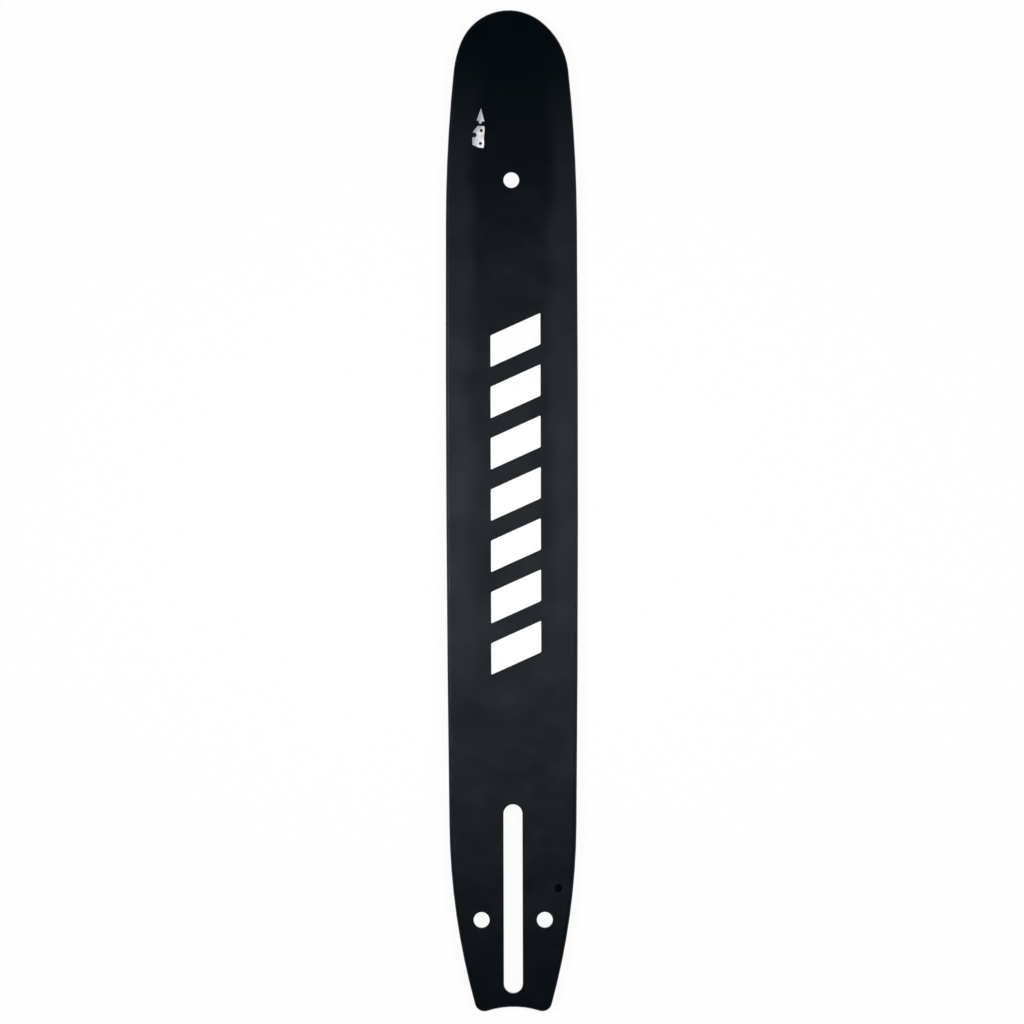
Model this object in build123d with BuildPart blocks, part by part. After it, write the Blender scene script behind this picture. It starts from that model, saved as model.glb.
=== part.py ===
from build123d import *
import os
from math import sqrt

# Guide bar of a small chainsaw that cuts to 40 cm: one steel plate, with the chain's groove
# milled into its rim. Lengths are in millimetres. The bar lies flat with its nose towards +Y,
# and the origin is the middle of the stud slot, on the face that is clamped to the saw.

# Plate
overall_length = 445.0
body_width = 58.7  # at the widest place
thickness = 4.0
widest_from_tip = 173.0
bow_radius = 16500.0  # both rails bulge a little, so that a tight chain bears on all of them

# Nose
nose_width = 51.0  # across the bar where the shoulders begin
flank_from_tip = 94.0  # here the rails start to draw in
tip_inset = 2.5  # by which the tip's radius is less than half of nose_width
shoulder_drop = 4.0  # from the tip's centre back to where the shoulders begin
nose_lean = -1.0  # the tip's centre, measured across the bar from its middle

# Tail
tail_from_slot = 50.0  # the tail's end to the middle of the stud slot
tail_flank_length = 82.5  # from the tail's end to where the rails start to draw in
tail_corner_radius = 4.3
tail_corner_spacing = 25.8  # between the centres of the two rounded corners
tail_notch_depth = 2.0  # the hollow that clears the saw's drive sprocket

# Chain groove
groove_width = 1.3  # the chain's gauge
groove_depth = 6.5
groove_runout = 40.0  # how far the cut goes on past the tail

# Mounting holes
slot_width = 8.4  # takes M8 studs
slot_length = 84.0
tensioner_hole_diameter = 7.1
tensioner_hole_spacing = 28.1
tensioner_behind_slot = 9.4  # from the slot's middle towards the tail
hanging_hole_diameter = 7.0
hanging_hole_from_tip = 75.5
oil_inlet_diameter = 3.5
oil_inlet_ahead_of_slot = 4.6  # from the slot's middle towards the nose

# Broken edges
rim_chamfer = 0.4
hole_chamfer = 0.2

# Places along the bar
tail_y = -tail_from_slot
tip_y = tail_y + overall_length
widest_y = tip_y - widest_from_tip
tail_flank_y = tail_y + tail_flank_length
nose_flank_y = tip_y - flank_from_tip

tip_radius = nose_width / 2 - tip_inset
tip_center = Vector(nose_lean, tip_y - tip_radius)
shoulder_y = tip_center.Y - shoulder_drop

corner_x = tail_corner_spacing / 2
corner_centers = [Vector(side * corner_x, tail_y + tail_corner_radius) for side in (1, -1)]
notch_radius = (corner_x**2 + tail_notch_depth**2) / (2 * tail_notch_depth) - tail_corner_radius
notch_center = Vector(0, tail_y + tail_notch_depth - notch_radius)


def rail_point(side, y):
    """Point of the bowed rail at y, on the +X side for 1 and on the -X side for -1."""
    drop = bow_radius - sqrt(bow_radius**2 - (y - widest_y) ** 2)
    return Vector(side * (body_width / 2 - drop), y)


def meeting_point(start, heading, center, radius):
    """Where an arc that leaves start along heading runs smoothly into the circle about center."""
    reach = center - start
    inward = (reach - heading * reach.dot(heading)).normalized()
    arc_radius = (reach.dot(reach) - radius**2) / (2 * (reach.dot(inward) - radius))
    arc_center = start + inward * arc_radius
    return center + (center - arc_center).normalized() * radius


# The chain's path: along one rail, over the nose and back along the other rail
shoulders = []
tail_flanks = []
with BuildLine() as chain_path:
    for side, corner_center in zip((1, -1), corner_centers):
        rail = ThreePointArc(*(rail_point(side, y) for y in (tail_flank_y, widest_y, nose_flank_y)))
        nose_flank = TangentArc(rail @ 1, (side * nose_width / 2, shoulder_y), tangent=rail % 1)
        shoulder_end = meeting_point(nose_flank @ 1, nose_flank % 1, tip_center, tip_radius)
        shoulders.append(TangentArc(nose_flank @ 1, shoulder_end, tangent=nose_flank % 1))

        corner_start = meeting_point(rail @ 0, -(rail % 0), corner_center, tail_corner_radius)
        tail_flanks.append(TangentArc(rail @ 0, corner_start, tangent=-(rail % 0)))
    TangentArc(shoulders[0] @ 1, shoulders[1] @ 1, tangent=shoulders[0] % 1)

# The whole outline: the path, two rounded tail corners and the hollow between them
with BuildSketch() as outline:
    with BuildLine():
        add(chain_path.line)
        corners = []
        for flank, corner_center in zip(tail_flanks, corner_centers):
            corner_end = corner_center + (notch_center - corner_center).normalized() * tail_corner_radius
            corners.append(TangentArc(flank @ 1, corner_end, tangent=flank % 1))
        TangentArc(corners[0] @ 1, corners[1] @ 1, tangent=corners[0] % 1)
    make_face()

# What the groove leaves standing: the path moved in by the groove's depth. It runs straight on
# past the tail, so that the groove is open at both corners, where the chain enters and leaves.
with BuildSketch() as core:
    with BuildLine():
        add(chain_path.line)
        runouts = [Line(flank @ 1, flank @ 1 + flank % 1 * groove_runout) for flank in tail_flanks]
        Line(runouts[0] @ 1, runouts[1] @ 1)
    make_face()
    offset(amount=-groove_depth)

# The inlets lie over the groove's floor, on the stretch that follows the tail flank
tail_flank = tail_flanks[0]
floor_radius = tail_flank.radius - groove_depth
floor_rise = oil_inlet_ahead_of_slot - tail_flank.arc_center.Y
oil_inlet_x = tail_flank.arc_center.X + sqrt(floor_radius**2 - floor_rise**2)
oil_inlet_depth = thickness / 2  # through one wall, as far as the middle of the groove

with BuildPart() as guide_bar:
    with BuildSketch():
        add(outline.sketch)
        SlotOverall(slot_length, slot_width, rotation=90, mode=Mode.SUBTRACT)
        with Locations((0, tip_y - hanging_hole_from_tip)):
            Circle(hanging_hole_diameter / 2, mode=Mode.SUBTRACT)
        with Locations((0, -tensioner_behind_slot)):
            with GridLocations(tensioner_hole_spacing, 0, 2, 1):
                Circle(tensioner_hole_diameter / 2, mode=Mode.SUBTRACT)
    extrude(amount=thickness)

    broad_faces = guide_bar.faces().filter_by(Axis.Z)
    rim_edges = [face.outer_wire().edges() for face in broad_faces]
    hole_edges = [wire.edges() for face in broad_faces for wire in face.inner_wires()]
    chamfer(rim_edges, length=rim_chamfer)
    chamfer(hole_edges, length=hole_chamfer)

    with BuildSketch(Plane.XY.offset(thickness / 2)):
        add(outline.sketch)
        offset(amount=groove_depth)
        add(core.sketch, mode=Mode.SUBTRACT)
    extrude(amount=groove_width / 2, both=True, mode=Mode.SUBTRACT)

    # One inlet in each face, on opposite rails, so that the bar can be turned over
    with Locations((oil_inlet_x, oil_inlet_ahead_of_slot, thickness)):
        Hole(oil_inlet_diameter / 2, depth=oil_inlet_depth)
    with Locations(Plane((-oil_inlet_x, oil_inlet_ahead_of_slot, 0), z_dir=(0, 0, -1))):
        Hole(oil_inlet_diameter / 2, depth=oil_inlet_depth)

guide_bar.part.label = "guide_bar"

os.makedirs("parts", exist_ok=True)
export_step(guide_bar.part, "parts/guide_bar.step")
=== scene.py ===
"""Looks of a chainsaw guide bar: satin black coat, ground rails, white print, white table, light, camera.

The bar is the CAD node and keeps its shape. It lies flat, nose towards +Y, and is seen from straight above.
"""

from math import cos, pi, radians, sin

import bmesh
import bpy
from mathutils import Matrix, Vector


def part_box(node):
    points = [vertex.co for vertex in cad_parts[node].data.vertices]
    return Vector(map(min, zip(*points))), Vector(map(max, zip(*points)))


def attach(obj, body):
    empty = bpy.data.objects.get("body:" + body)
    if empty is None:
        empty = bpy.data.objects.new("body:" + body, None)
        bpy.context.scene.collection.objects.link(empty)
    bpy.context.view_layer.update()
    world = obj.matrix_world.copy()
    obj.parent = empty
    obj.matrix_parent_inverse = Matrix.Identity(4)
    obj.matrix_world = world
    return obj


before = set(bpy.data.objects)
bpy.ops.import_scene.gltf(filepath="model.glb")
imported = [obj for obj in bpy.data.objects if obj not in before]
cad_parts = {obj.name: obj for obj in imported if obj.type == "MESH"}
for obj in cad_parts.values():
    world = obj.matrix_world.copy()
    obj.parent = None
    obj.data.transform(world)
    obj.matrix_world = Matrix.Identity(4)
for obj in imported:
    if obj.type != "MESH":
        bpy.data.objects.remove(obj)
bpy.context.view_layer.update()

MM = 0.001

# What the frame gives
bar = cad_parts["guide_bar"]
bar_low, bar_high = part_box("guide_bar")
bar_length = bar_high.y - bar_low.y
half_width = (bar_high.x - bar_low.x) / 2
mid_level = (bar_low.z + bar_high.z) / 2

# Rails and chain groove
RAIL_LEVEL = 1.0 * MM  # a height on the rails, clear of the groove and of the broken edges
RAIL_STEPS = 28  # from tail to tip, between the places where the bar's width is read
RAIL_INSET = 0.05 * MM  # of the first and the last of those places, so that both are on the bar
RAIL_EDGE = 2.0 * MM  # an upright face no further in than this is a running face
GROOVE_WIDTH = 1.3 * MM
GROOVE_DEPTH = 6.5 * MM
WALL_SLACK = 0.02 * MM  # a face this little above or below the groove still belongs to its walls
FLOOR_SLACK = 0.4 * MM  # measured across the bar, its floor lies a little deeper than it is cut
UPRIGHT_WITHIN = 0.4  # the most that an upright face's normal leans up or down

# Hardened bands, where the rails were heated and quenched
HARDENED_WIDTH = 7.5 * MM
HARDENED_FADE = 8.0 * MM
HARDENED_DRIFT = 8.0 * MM  # by which their inner edge wanders
HARDENED_DRIFT_SIZE = 24.0 * MM
HARDENED_FROM_TAIL = (120 * MM, 190 * MM)  # over this stretch they come in
HARDENED_FROM_TIP = (10 * MM, 85 * MM)  # and over this one they go out

# Coat
BLACK_COAT = "#00050a"
GREYED_COAT = "#1d2226"
BARE_STEEL = "#96979a"
# painted shade: near black for the milled groove and the inlets' floors, where little light reaches
GROOVE_SHADE_STEEL = "#06090c"
COAT_IOR = 1.5
COAT_ROUGHNESS = (0.325, 0.275)  # in a dark cloud and in a light one
# of the painted shade in the groove and on the inlets' floors
GROOVE_ROUGHNESS = 0.75
CLOUD_SIZE = 18.0 * MM
CLOUD_DETAIL = 4.0  # octaves of noise
CLOUD_SPAN = (0.32, 0.68)  # of the noise, between a dark cloud and a light one
CLOUD_GREY = 0.04  # how far a light cloud greys the coat
BAND_GREY = 0.50  # and how far a hardened band does
EDGE_ROLL = (0.85 * MM, 1.45 * MM)  # in from the rail: where stamping rolled the edge over
EDGE_DROP = 0.10 * MM
WAVE_SIZE = 23.0 * MM
WAVE_HEIGHT = 0.45 * MM
PEEL_SIZE = 1.4 * MM
PEEL_HEIGHT = 0.002 * MM
GRINDING_WIDTH = 0.5 * MM  # of the marks left by the grinding wheel, coarser than they are, to show
GRINDING_LENGTH = 60.0 * MM
GRINDING_HEIGHT = 0.0008 * MM
GRINDING_DETAIL = 3.0

# Print
INK_WHITE = "#fbfbfa"
SPOT_WHITE = "#f4f5f4"  # where a spot has less ink
GREYED_WHITE = "#a7aaab"  # grey, on the small sign: more to its left and towards the nose, and in patches
INK_ROUGHNESS = 0.55
INK_IOR = 1.48
INK_THICKNESS = 0.03 * MM
FILM_SIZE = 2.5 * MM  # of the thinner and thicker spots in the ink
FILM_DETAIL = 4.0
FILM_HEIGHT = 0.003 * MM
FILM_SPAN = (0.3, 0.7)  # of the noise, between a thick spot and a thin one
MERGE_WITHIN = 0.002 * MM  # points of the print that are closer than this become one
STRIPES = {
    "Count": 7,
    "Length": 14.0 * MM,
    "Width": 22.2 * MM,
    "Pitch": 22.8 * MM,
    "Slant": 10.0 * MM,
    "Corner": 0.5 * MM,
    "Corner Points": 6,
    "Thickness": INK_THICKNESS,
}
STRIPES_AT = Vector((1.65, 180.0)) * MM
SIGN_AT = Vector((-14.4, 338.6)) * MM  # middle of the cutter in the chain-direction sign
ARROW_FROM_SIGN = Vector((0.75, 9.1)) * MM
SIGN_REACH = 20.0 * MM  # all of the sign lies within this
SIGN_GREYING = (0.2, 0.9)  # share of grey in its ink, from one patch to the next
SIGN_GREYING_SLOPE = Vector((-0.20, 0.075, 0)) / MM  # it gets greyer to the left and towards the nose

# Table
TABLE_WHITE = "#f4f4f2"
TABLE_REACH = 8.0
TABLE_DROP = 0.05 * MM  # under the bar, so that the two faces don't coincide
TABLE_GLOW = 0.93  # share of plain white in the table as it is seen

# Light
PLAIN_WHITE = "#ffffff"
LAMP_ASIDE = 1.1
LAMP_HEIGHT = 1.1
LAMP_SIZE = (0.9, 0.6)
LAMP_POWER = 15.0
SHEEN_AT = Vector((-0.020, 0.140, 1.2))
SHEEN_SIZE = (0.28, 0.30)
SHEEN_POWER = 0.0063
SHEEN_SPREAD = 17.0  # degrees: a honeycomb grid on the panel keeps its light in a narrow cone
SHEEN_COLOUR = "#f2faff"
EDGE_LIGHT_ASIDE = 0.38
EDGE_LIGHT_HEIGHT = 0.6
EDGE_LIGHT_SIZE = (0.25, 0.06)  # along the bar, and across
EDGE_LIGHT_POWER = (0.028, 0.010)  # on the left and on the right
EDGE_LIGHT_SPREAD = 44.0
HORIZON_GLOW = 0.55
DARK_ABOVE = 0.95  # the sine of the height at which the studio's glow has faded out

# Camera, straight above, turned a little about its line of sight
VIEW_CENTER = Vector((-0.07, 171.94)) * MM
VIEW_SIZE = 455.1 * MM
VIEW_ROLL = -0.0026
LENS = 200.0
SENSOR = 36.0

# Sockets of a Mix node that mixes colours
COLOUR_A, COLOUR_B, COLOUR_MIXED = 6, 7, 2


def linear(hex_colour):
    """An sRGB hex colour as linear RGBA."""
    channels = [int(hex_colour[i : i + 2], 16) / 255 for i in (1, 3, 5)]
    return (*(c / 12.92 if c <= 0.04045 else ((c + 0.055) / 1.055) ** 2.4 for c in channels), 1.0)


def add_node(tree, kind, inputs=None, output=0, **settings):
    """Adds a node and returns one of its outputs. An input gets a value, or a link to a given socket."""
    node = tree.nodes.new(kind)
    for name, value in settings.items():
        setattr(node, name, value)
    for socket, value in (inputs or {}).items():
        if isinstance(value, bpy.types.NodeSocket):
            tree.links.new(value, node.inputs[socket])
        else:
            node.inputs[socket].default_value = value
    return node.outputs[output] if node.outputs else None


def new_material(name):
    """A node material and its tree, which is empty."""
    material = bpy.data.materials.new(name)
    material.use_nodes = True
    material.node_tree.nodes.clear()
    return material, material.node_tree


def add_object(name, data):
    """A new object in the scene, at the origin."""
    thing = bpy.data.objects.new(name, data)
    bpy.context.scene.collection.objects.link(thing)
    return thing


def rail_profile():
    """Half of the bar's width at places from tail to tip, as shares of its length and its half width."""
    depsgraph = bpy.context.evaluated_depsgraph_get()
    profile = []
    for i in range(RAIL_STEPS + 1):
        # The places are closest together at both ends, where the outline turns most
        share = (1 - cos(pi * i / RAIL_STEPS)) / 2
        y = bar_low.y + share * bar_length
        y = min(max(y, bar_low.y + RAIL_INSET), bar_high.y - RAIL_INSET)
        reach = 0.0
        for side in (1, -1):
            start = Vector((side * 2 * half_width, y, bar_low.z + RAIL_LEVEL))
            hit, place, _, _ = bar.ray_cast(start, Vector((-side, 0, 0)), depsgraph=depsgraph)
            reach += abs(place.x) / 2 if hit else 0.0
        profile.append((share, reach / half_width))
    return profile


def depth_inside_rails(tree, place):
    """How far in from the nearer rail a point lies, measured across the bar."""
    share = add_node(
        tree, "ShaderNodeMapRange", {"Value": place["Y"], "From Min": bar_low.y, "From Max": bar_high.y}
    )
    half = add_node(tree, "ShaderNodeFloatCurve", {"Value": share})
    first, *between, last = rail_profile()
    points = half.node.mapping.curves[0].points
    points[0].location, points[1].location = first, last
    for point in between:
        points.new(*point)
    half.node.mapping.update()
    rail = add_node(tree, "ShaderNodeMath", {0: half, 1: half_width}, operation="MULTIPLY")
    across = add_node(tree, "ShaderNodeMath", {0: place["X"]}, operation="ABSOLUTE")
    return add_node(tree, "ShaderNodeMath", {0: rail, 1: across}, operation="SUBTRACT")


def hardened_bands(tree, coords, place, depth):
    """Share of hardening: along both rails, with an uneven inner edge, fading out to tail and tip."""
    drift = add_node(tree, "ShaderNodeTexNoise", {"Vector": coords, "Scale": 1 / HARDENED_DRIFT_SIZE})
    uneven = add_node(
        tree, "ShaderNodeMapRange", {"Value": drift, "To Min": -HARDENED_DRIFT, "To Max": HARDENED_DRIFT}
    )
    inward = add_node(tree, "ShaderNodeMath", {0: depth, 1: uneven}, operation="ADD")
    fades = (
        (inward, HARDENED_WIDTH + HARDENED_FADE, HARDENED_WIDTH),
        (place["Y"], bar_low.y + HARDENED_FROM_TAIL[0], bar_low.y + HARDENED_FROM_TAIL[1]),
        (place["Y"], bar_high.y - HARDENED_FROM_TIP[0], bar_high.y - HARDENED_FROM_TIP[1]),
    )
    hardened = 1.0
    for value, none_at, full_at in fades:
        fade = add_node(
            tree,
            "ShaderNodeMapRange",
            {"Value": value, "From Min": none_at, "From Max": full_at},
            interpolation_type="SMOOTHSTEP",
        )
        hardened = add_node(tree, "ShaderNodeMath", {0: hardened, 1: fade}, operation="MULTIPLY")
    return hardened


def bare_and_groove_shade(tree, place, depth, normal):
    """Shares of bare steel, on the running faces, and of painted shade, near black, in the groove and on
    the inlets' floors.
    """
    lean = add_node(tree, "ShaderNodeSeparateXYZ", {0: normal}, output="Z")
    upright = add_node(tree, "ShaderNodeMath", {0: lean, 1: 0.0, 2: UPRIGHT_WITHIN}, operation="COMPARE")
    level = add_node(tree, "ShaderNodeMath", {0: 1.0, 1: upright}, operation="SUBTRACT")

    half_groove = GROOVE_WIDTH / 2 + WALL_SLACK
    floor = GROOVE_DEPTH + FLOOR_SLACK
    at_groove = add_node(
        tree, "ShaderNodeMath", {0: place["Z"], 1: mid_level, 2: half_groove}, operation="COMPARE"
    )
    to_floor = add_node(tree, "ShaderNodeMath", {0: depth, 1: floor}, operation="LESS_THAN")
    walls = add_node(tree, "ShaderNodeMath", {0: to_floor, 1: level}, operation="MAXIMUM")
    # painted shade: the groove's walls and floor and the inlets' floors are to be painted near black
    groove_shade = add_node(tree, "ShaderNodeMath", {0: at_groove, 1: walls}, operation="MULTIPLY")

    at_edge = add_node(tree, "ShaderNodeMath", {0: depth, 1: RAIL_EDGE}, operation="LESS_THAN")
    ground = add_node(tree, "ShaderNodeMath", {0: upright, 1: at_edge}, operation="MULTIPLY")
    dry = add_node(tree, "ShaderNodeMath", {0: 1.0, 1: groove_shade}, operation="SUBTRACT")
    bare = add_node(tree, "ShaderNodeMath", {0: ground, 1: dry}, operation="MULTIPLY")
    return bare, groove_shade


def coat_colour(tree, clouds, hardened, bare, groove_shade):
    """Black, greyed faintly by clouds and evenly by hardening, with the bare steel and the groove's painted
    shade.
    """
    faint = add_node(tree, "ShaderNodeMath", {0: clouds, 1: CLOUD_GREY}, operation="MULTIPLY")
    grey = add_node(tree, "ShaderNodeMath", {0: hardened, 1: BAND_GREY, 2: faint}, operation="MULTIPLY_ADD")
    colour = linear(BLACK_COAT)
    # the last tint paints shade, near black, into the groove and onto the inlets' floors
    for share, tint in ((grey, GREYED_COAT), (bare, BARE_STEEL), (groove_shade, GROOVE_SHADE_STEEL)):
        colour = add_node(
            tree,
            "ShaderNodeMix",
            {"Factor": share, COLOUR_A: colour, COLOUR_B: linear(tint)},
            output=COLOUR_MIXED,
            data_type="RGBA",
        )
    return colour


def coat_relief(tree, coords, depth, normal):
    """The normal, bent by rolled edges, a wavy plate, orange peel and grinding marks along the bar."""
    edges = add_node(
        tree,
        "ShaderNodeMapRange",
        {"Value": depth, "From Min": EDGE_ROLL[0], "From Max": EDGE_ROLL[1]},
        interpolation_type="SMOOTHSTEP",
    )
    waves = add_node(tree, "ShaderNodeTexNoise", {"Vector": coords, "Scale": 1 / WAVE_SIZE})
    peel = add_node(tree, "ShaderNodeTexNoise", {"Vector": coords, "Scale": 1 / PEEL_SIZE})
    marks = (1 / GRINDING_WIDTH, 1 / GRINDING_LENGTH, 1 / GRINDING_WIDTH)
    lengthwise = add_node(tree, "ShaderNodeMapping", {"Vector": coords, "Scale": marks})
    grinding = add_node(
        tree, "ShaderNodeTexNoise", {"Vector": lengthwise, "Scale": 1.0, "Detail": GRINDING_DETAIL}
    )
    relief = normal
    for height, rise in (
        (edges, EDGE_DROP),
        (waves, WAVE_HEIGHT),
        (peel, PEEL_HEIGHT),
        (grinding, GRINDING_HEIGHT),
    ):
        relief = add_node(tree, "ShaderNodeBump", {"Height": height, "Distance": rise, "Normal": relief})
    return relief


def satin_black_coating():
    """Thin black dip coating, stoved, on a ground steel plate: satin, with a faint orange peel.

    The plate is a little wavy and the coat a little uneven, which clouds the sheen, and the edges are
    slightly rolled over and catch a line of light. Over the hardened rails the coat took less well and
    looks slightly grey. The rails' running faces are ground bare after coating. The milled groove
    between them and the inlets' floors are painted near black: painted shade, where little light reaches.
    """
    material, tree = new_material("satin_black_coating_on_steel")
    coords = add_node(tree, "ShaderNodeTexCoord", output="Object")
    place = add_node(tree, "ShaderNodeSeparateXYZ", {0: coords}).node.outputs
    normal = add_node(tree, "ShaderNodeNewGeometry", output="Normal")
    depth = depth_inside_rails(tree, place)
    hardened = hardened_bands(tree, coords, place, depth)
    bare, groove_shade = bare_and_groove_shade(tree, place, depth, normal)

    noise = add_node(
        tree, "ShaderNodeTexNoise", {"Vector": coords, "Scale": 1 / CLOUD_SIZE, "Detail": CLOUD_DETAIL}
    )
    clouds = add_node(
        tree, "ShaderNodeMapRange", {"Value": noise, "From Min": CLOUD_SPAN[0], "From Max": CLOUD_SPAN[1]}
    )
    dull, smooth = COAT_ROUGHNESS
    satin = add_node(tree, "ShaderNodeMapRange", {"Value": clouds, "To Min": dull, "To Max": smooth})
    # where the groove's shade is painted, the surface is also rough and dull
    roughness = add_node(
        tree, "ShaderNodeMapRange", {"Value": groove_shade, "To Min": satin, "To Max": GROOVE_ROUGHNESS}
    )
    shader = add_node(
        tree,
        "ShaderNodeBsdfPrincipled",
        {
            "Base Color": coat_colour(tree, clouds, hardened, bare, groove_shade),
            "Metallic": bare,
            "Roughness": roughness,
            "IOR": COAT_IOR,
            "Normal": coat_relief(tree, coords, depth, normal),
        },
    )
    add_node(tree, "ShaderNodeOutputMaterial", {"Surface": shader})
    return material


def sign_greying(tree, coords, spots):
    """Share of grey in the small sign's ink, most at its arrow and along its left side."""
    from_sign = add_node(tree, "ShaderNodeVectorMath", {0: coords, 1: (*SIGN_AT, 0)}, operation="SUBTRACT")
    slope = add_node(
        tree,
        "ShaderNodeVectorMath",
        {0: from_sign, 1: SIGN_GREYING_SLOPE},
        output="Value",
        operation="DOT_PRODUCT",
    )
    distance = add_node(tree, "ShaderNodeVectorMath", {0: from_sign}, output="Value", operation="LENGTH")
    on_sign = add_node(tree, "ShaderNodeMath", {0: distance, 1: SIGN_REACH}, operation="LESS_THAN")
    patchy = add_node(
        tree,
        "ShaderNodeMapRange",
        {
            "Value": spots,
            "From Min": FILM_SPAN[0],
            "From Max": FILM_SPAN[1],
            "To Min": SIGN_GREYING[0],
            "To Max": SIGN_GREYING[1],
        },
    )
    grey_share = add_node(tree, "ShaderNodeMath", {0: slope, 1: patchy}, operation="ADD")
    return add_node(tree, "ShaderNodeMath", {0: grey_share, 1: on_sign}, operation="MULTIPLY", use_clamp=True)


def white_print_ink():
    """Screen-printed white ink: matt, opaque, a little uneven where the squeegee left less of it."""
    material, tree = new_material("white_screen_print_ink")
    coords = add_node(tree, "ShaderNodeTexCoord", output="Object")
    spots = add_node(
        tree, "ShaderNodeTexNoise", {"Vector": coords, "Scale": 1 / FILM_SIZE, "Detail": FILM_DETAIL}
    )
    grey_share = sign_greying(tree, coords, spots)
    colour = linear(INK_WHITE)
    for share, tint in ((spots, SPOT_WHITE), (grey_share, GREYED_WHITE)):
        colour = add_node(
            tree,
            "ShaderNodeMix",
            {"Factor": share, COLOUR_A: colour, COLOUR_B: linear(tint)},
            output=COLOUR_MIXED,
            data_type="RGBA",
        )
    relief = add_node(tree, "ShaderNodeBump", {"Height": spots, "Distance": FILM_HEIGHT}, invert=True)
    shader = add_node(
        tree,
        "ShaderNodeBsdfPrincipled",
        {"Base Color": colour, "Roughness": INK_ROUGHNESS, "IOR": INK_IOR, "Normal": relief},
    )
    add_node(tree, "ShaderNodeOutputMaterial", {"Surface": shader})
    return material


def white_table():
    """Plain white table top. Seen directly or mirrored it is near white, and it keeps the bar's shadow."""
    material, tree = new_material("white_table_top")
    path = add_node(tree, "ShaderNodeLightPath").node.outputs
    seen = path["Is Camera Ray"]
    for ray in ("Is Glossy Ray", "Is Transmission Ray"):
        seen = add_node(tree, "ShaderNodeMath", {0: seen, 1: path[ray]}, operation="MAXIMUM")
    share = add_node(tree, "ShaderNodeMath", {0: seen, 1: TABLE_GLOW}, operation="MULTIPLY")
    matt = add_node(tree, "ShaderNodeBsdfDiffuse", {"Color": linear(TABLE_WHITE)})
    glow = add_node(tree, "ShaderNodeEmission", {"Color": linear(PLAIN_WHITE), "Strength": 1.0})
    shader = add_node(tree, "ShaderNodeMixShader", {0: share, 1: matt, 2: glow})
    add_node(tree, "ShaderNodeOutputMaterial", {"Surface": shader})
    return material


def slanted_stripe(tree, size):
    """One stripe across the bar: a rounded rectangle, sheared along the bar, as a closed film of ink."""
    rectangle = add_node(
        tree, "GeometryNodeCurvePrimitiveQuadrilateral", {"Width": size["Width"], "Height": size["Length"]}
    )
    rounded = add_node(
        tree,
        "GeometryNodeFilletCurve",
        {"Curve": rectangle, "Count": size["Corner Points"], "Radius": size["Corner"]},
        mode="POLY",
    )
    position = add_node(tree, "GeometryNodeInputPosition")
    across = add_node(tree, "ShaderNodeSeparateXYZ", {0: position}, output="X")
    slope = add_node(tree, "ShaderNodeMath", {0: size["Slant"], 1: size["Width"]}, operation="DIVIDE")
    shear = add_node(tree, "ShaderNodeMath", {0: across, 1: slope}, operation="MULTIPLY")
    along = add_node(tree, "ShaderNodeCombineXYZ", {"Y": shear})
    slanted = add_node(tree, "GeometryNodeSetPosition", {"Geometry": rounded, "Offset": along})
    underside = add_node(tree, "GeometryNodeFillCurve", {"Curve": slanted}, mode="NGONS")
    film = add_node(
        tree,
        "GeometryNodeExtrudeMesh",
        {"Mesh": underside, "Offset Scale": size["Thickness"]},
        mode="FACES",
    )
    turned = add_node(tree, "GeometryNodeFlipFaces", {"Mesh": underside})
    both = add_node(tree, "GeometryNodeJoinGeometry", {0: film})
    tree.links.new(turned, both.node.inputs[0])
    return add_node(tree, "GeometryNodeMergeByDistance", {"Geometry": both, "Distance": MERGE_WITHIN})


def stripe_tree():
    """Geometry nodes for a row of stripes with the sizes in STRIPES, centred on its own origin."""
    tree = bpy.data.node_groups.new("stripe_row", "GeometryNodeTree")
    sockets = {}
    for name, value in STRIPES.items():
        kind = "NodeSocketInt" if isinstance(value, int) else "NodeSocketFloat"
        sockets[name] = tree.interface.new_socket(name, in_out="INPUT", socket_type=kind)
    sockets["Ink"] = tree.interface.new_socket("Ink", in_out="INPUT", socket_type="NodeSocketMaterial")
    tree.interface.new_socket("Geometry", in_out="OUTPUT", socket_type="NodeSocketGeometry")
    size = tree.nodes.new("NodeGroupInput").outputs

    gaps = add_node(tree, "ShaderNodeMath", {0: size["Count"], 1: 1.0}, operation="SUBTRACT")
    run = add_node(tree, "ShaderNodeMath", {0: gaps, 1: size["Pitch"]}, operation="MULTIPLY")
    half_back = add_node(tree, "ShaderNodeMath", {0: run, 1: -0.5}, operation="MULTIPLY")
    start = add_node(tree, "ShaderNodeCombineXYZ", {"Y": half_back})
    step = add_node(tree, "ShaderNodeCombineXYZ", {"Y": size["Pitch"]})
    row = add_node(
        tree,
        "GeometryNodeMeshLine",
        {"Count": size["Count"], "Start Location": start, "Offset": step},
        mode="OFFSET",
    )
    stripe = slanted_stripe(tree, size)
    copies = add_node(tree, "GeometryNodeInstanceOnPoints", {"Points": row, "Instance": stripe})
    real = add_node(tree, "GeometryNodeRealizeInstances", {"Geometry": copies})
    inked = add_node(tree, "GeometryNodeSetMaterial", {"Geometry": real, "Material": size["Ink"]})
    add_node(tree, "NodeGroupOutput", {0: inked})
    return tree, sockets


def lay_print(source, name, at, lift=0.0):
    """Turns the evaluated source into a plain piece of print on the bar's upper face."""
    depsgraph = bpy.context.evaluated_depsgraph_get()
    mesh = bpy.data.meshes.new_from_object(source.evaluated_get(depsgraph))
    bpy.data.objects.remove(source)
    build = bmesh.new()
    build.from_mesh(mesh)
    bmesh.ops.remove_doubles(build, verts=build.verts, dist=MERGE_WITHIN)
    bmesh.ops.recalc_face_normals(build, faces=build.faces)
    bmesh.ops.translate(build, verts=build.verts, vec=(*at, bar_high.z + lift))
    build.to_mesh(mesh)
    build.free()
    piece = add_object(name, mesh)
    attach(piece, "root")


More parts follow.
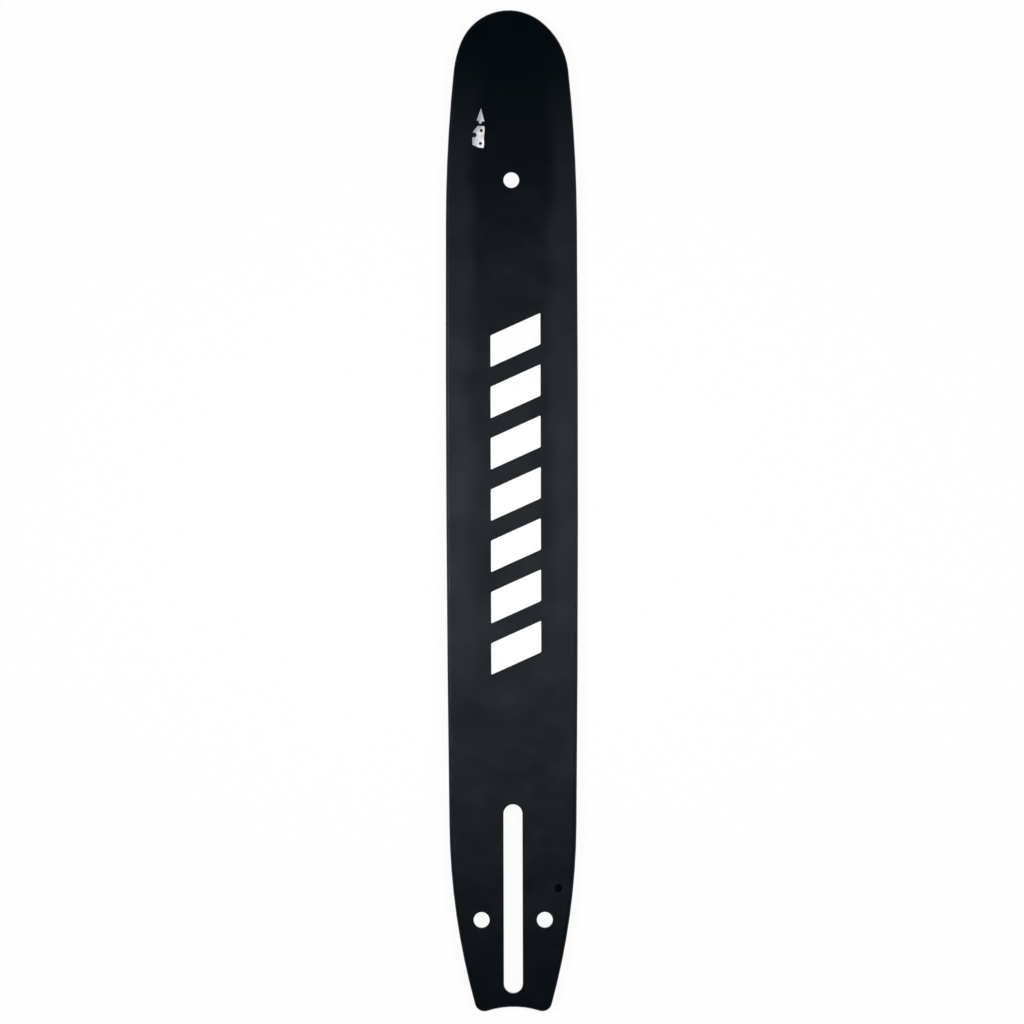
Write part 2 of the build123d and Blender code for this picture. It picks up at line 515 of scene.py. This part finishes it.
def print_stripes(ink):
    """Plain slanted stripes along the middle of the bar."""
    tree, sockets = stripe_tree()
    source = add_object("stripe_source", bpy.data.meshes.new("stripe_source"))
    modifier = source.modifiers.new("stripes", "NODES")
    modifier.node_group = tree
    for name, value in STRIPES.items():
        modifier[sockets[name].identifier] = value
    modifier[sockets["Ink"].identifier] = ink
    lay_print(source, "print_stripes", STRIPES_AT)


def arc(center, radius, start, end, steps):
    """Points in millimetres along an arc, by its angles in degrees."""
    angles = [radians(start + (end - start) * i / steps) for i in range(steps + 1)]
    return [(center[0] + radius * cos(a), center[1] + radius * sin(a)) for a in angles]


def print_outline(name, outlines, at, ink):
    """A film of ink with closed outlines in millimetres. Outlines inside the first one are left bare."""
    curve = bpy.data.curves.new(name, "CURVE")
    curve.dimensions = "2D"
    curve.fill_mode = "BOTH"
    curve.extrude = INK_THICKNESS / 2
    for outline in outlines:
        spline = curve.splines.new("POLY")
        spline.points.add(len(outline) - 1)
        for point, (x, y) in zip(spline.points, outline):
            point.co = (x * MM, y * MM, 0, 1)
        spline.use_cyclic_u = True
    curve.materials.append(ink)
    lay_print(add_object(name + "_source", curve), name, at, lift=INK_THICKNESS / 2)


def print_direction_sign(ink):
    """The usual sign for the chain's direction: a cutter link, and an arrow towards the nose."""
    blunt_corner = arc((1.85, 4.2), 0.7, 85, 0, steps=5)
    gullet = arc((-2.1, 0.95), 1.1, -120, 115, steps=9)
    cutter = [
        (-0.5, 5.0),
        *blunt_corner,
        (2.6, 3.0),
        (2.2, -0.5),
        (2.4, -2.8),
        (2.05, -4.85),
        (-0.2, -4.6),
        (-2.85, -3.3),
        (-2.85, -0.2),
        *gullet,
        (-2.55, 2.4),
    ]
    rivet_centers = ((1.1, 2.9), (0.7, -2.85))
    rivet_radius = 0.68
    rivets = [arc(center, rivet_radius, 0, 345, steps=23) for center in rivet_centers]
    print_outline("print_cutter", [cutter, *rivets], SIGN_AT, ink)

    shank = arc((-0.08, -2.45), 0.7, 0, -180, steps=8)
    arrow = [(0.25, 3.8), (1.75, -2.3), (0.65, -1.85), *shank, (-0.8, -1.6), (-1.75, -1.85)]
    print_outline("print_arrow", [arrow], SIGN_AT + ARROW_FROM_SIGN, ink)


def lay_table():
    """A wide table top, just under the bar."""
    mesh = bpy.data.meshes.new("table_top")
    level = bar_low.z - TABLE_DROP
    corners = [(x * TABLE_REACH, y * TABLE_REACH, level) for x, y in ((-1, -1), (1, -1), (1, 1), (-1, 1))]
    mesh.from_pydata(corners, [], [(0, 1, 2, 3)])
    mesh.materials.append(white_table())
    add_object("table_top", mesh)


def hang_softbox(name, at, aim, size, power, colour=PLAIN_WHITE, spread=180, glare=False):
    """A soft area light that the camera doesn't see. Without glare it is as if polarised: no gloss."""
    data = bpy.data.lights.new(name, "AREA")
    data.shape = "RECTANGLE"
    data.size, data.size_y = size
    data.energy = power
    data.spread = radians(spread)
    data.color = linear(colour)[:3]
    light = add_object(name, data)
    light.location = at
    light.rotation_euler = (aim - at).to_track_quat("-Z", "Y").to_euler()
    light.visible_camera = False
    light.visible_glossy = glare


def light_studio():
    """Two side lights for even light with no glare, and three dim ones with glare.

    One of the dim ones hangs overhead and gives the coat its sheen. The other two are narrow and show as
    a thin line on the rolled edges, a brighter one on the left.
    """
    middle = Vector((0, VIEW_CENTER.y, bar_high.z))
    for name, side in (("left_softbox", -1), ("right_softbox", 1)):
        at = middle + Vector((side * LAMP_ASIDE, 0, LAMP_HEIGHT))
        hang_softbox(name, at, middle, LAMP_SIZE, LAMP_POWER)
    for name, side, power in zip(("left_edge_light", "right_edge_light"), (-1, 1), EDGE_LIGHT_POWER):
        at = middle + Vector((side * EDGE_LIGHT_ASIDE, 0, EDGE_LIGHT_HEIGHT))
        hang_softbox(name, at, middle, EDGE_LIGHT_SIZE, power, spread=EDGE_LIGHT_SPREAD, glare=True)
    below = Vector((*SHEEN_AT.xy, bar_low.z))
    hang_softbox(
        "sheen_panel", SHEEN_AT, below, SHEEN_SIZE, SHEEN_POWER, SHEEN_COLOUR, SHEEN_SPREAD, glare=True
    )


def surround_studio():
    """Studio walls that glow softly at the horizon and are dark overhead. The camera sees plain white."""
    world = bpy.data.worlds.new("studio")
    bpy.context.scene.world = world
    world.use_nodes = True
    tree = world.node_tree
    tree.nodes.clear()
    direction = add_node(tree, "ShaderNodeTexCoord", output="Generated")
    height = add_node(tree, "ShaderNodeSeparateXYZ", {0: direction}, output="Z")
    glow = add_node(
        tree,
        "ShaderNodeMapRange",
        {"Value": height, "From Max": DARK_ABOVE, "To Min": HORIZON_GLOW, "To Max": 0.0},
    )
    seen = add_node(tree, "ShaderNodeLightPath", output="Is Camera Ray")
    strength = add_node(tree, "ShaderNodeMapRange", {"Value": seen, "To Min": glow, "To Max": 1.0})
    backdrop = add_node(tree, "ShaderNodeBackground", {"Color": linear(PLAIN_WHITE), "Strength": strength})
    add_node(tree, "ShaderNodeOutputWorld", {"Surface": backdrop})


def aim_camera():
    """A long lens straight above the bar."""
    data = bpy.data.cameras.new("camera")
    data.sensor_width = SENSOR
    data.lens = LENS
    camera = add_object("camera", data)
    camera.location = (*VIEW_CENTER, bar_high.z + VIEW_SIZE * LENS / SENSOR)
    camera.rotation_euler = (0, 0, VIEW_ROLL)
    bpy.context.scene.camera = camera


bpy.context.scene.view_settings.view_transform = "Standard"
bar.material_slots[0].material = satin_black_coating()
ink = white_print_ink()
print_stripes(ink)
print_direction_sign(ink)
lay_table()
light_studio()
surround_studio()
aim_camera()
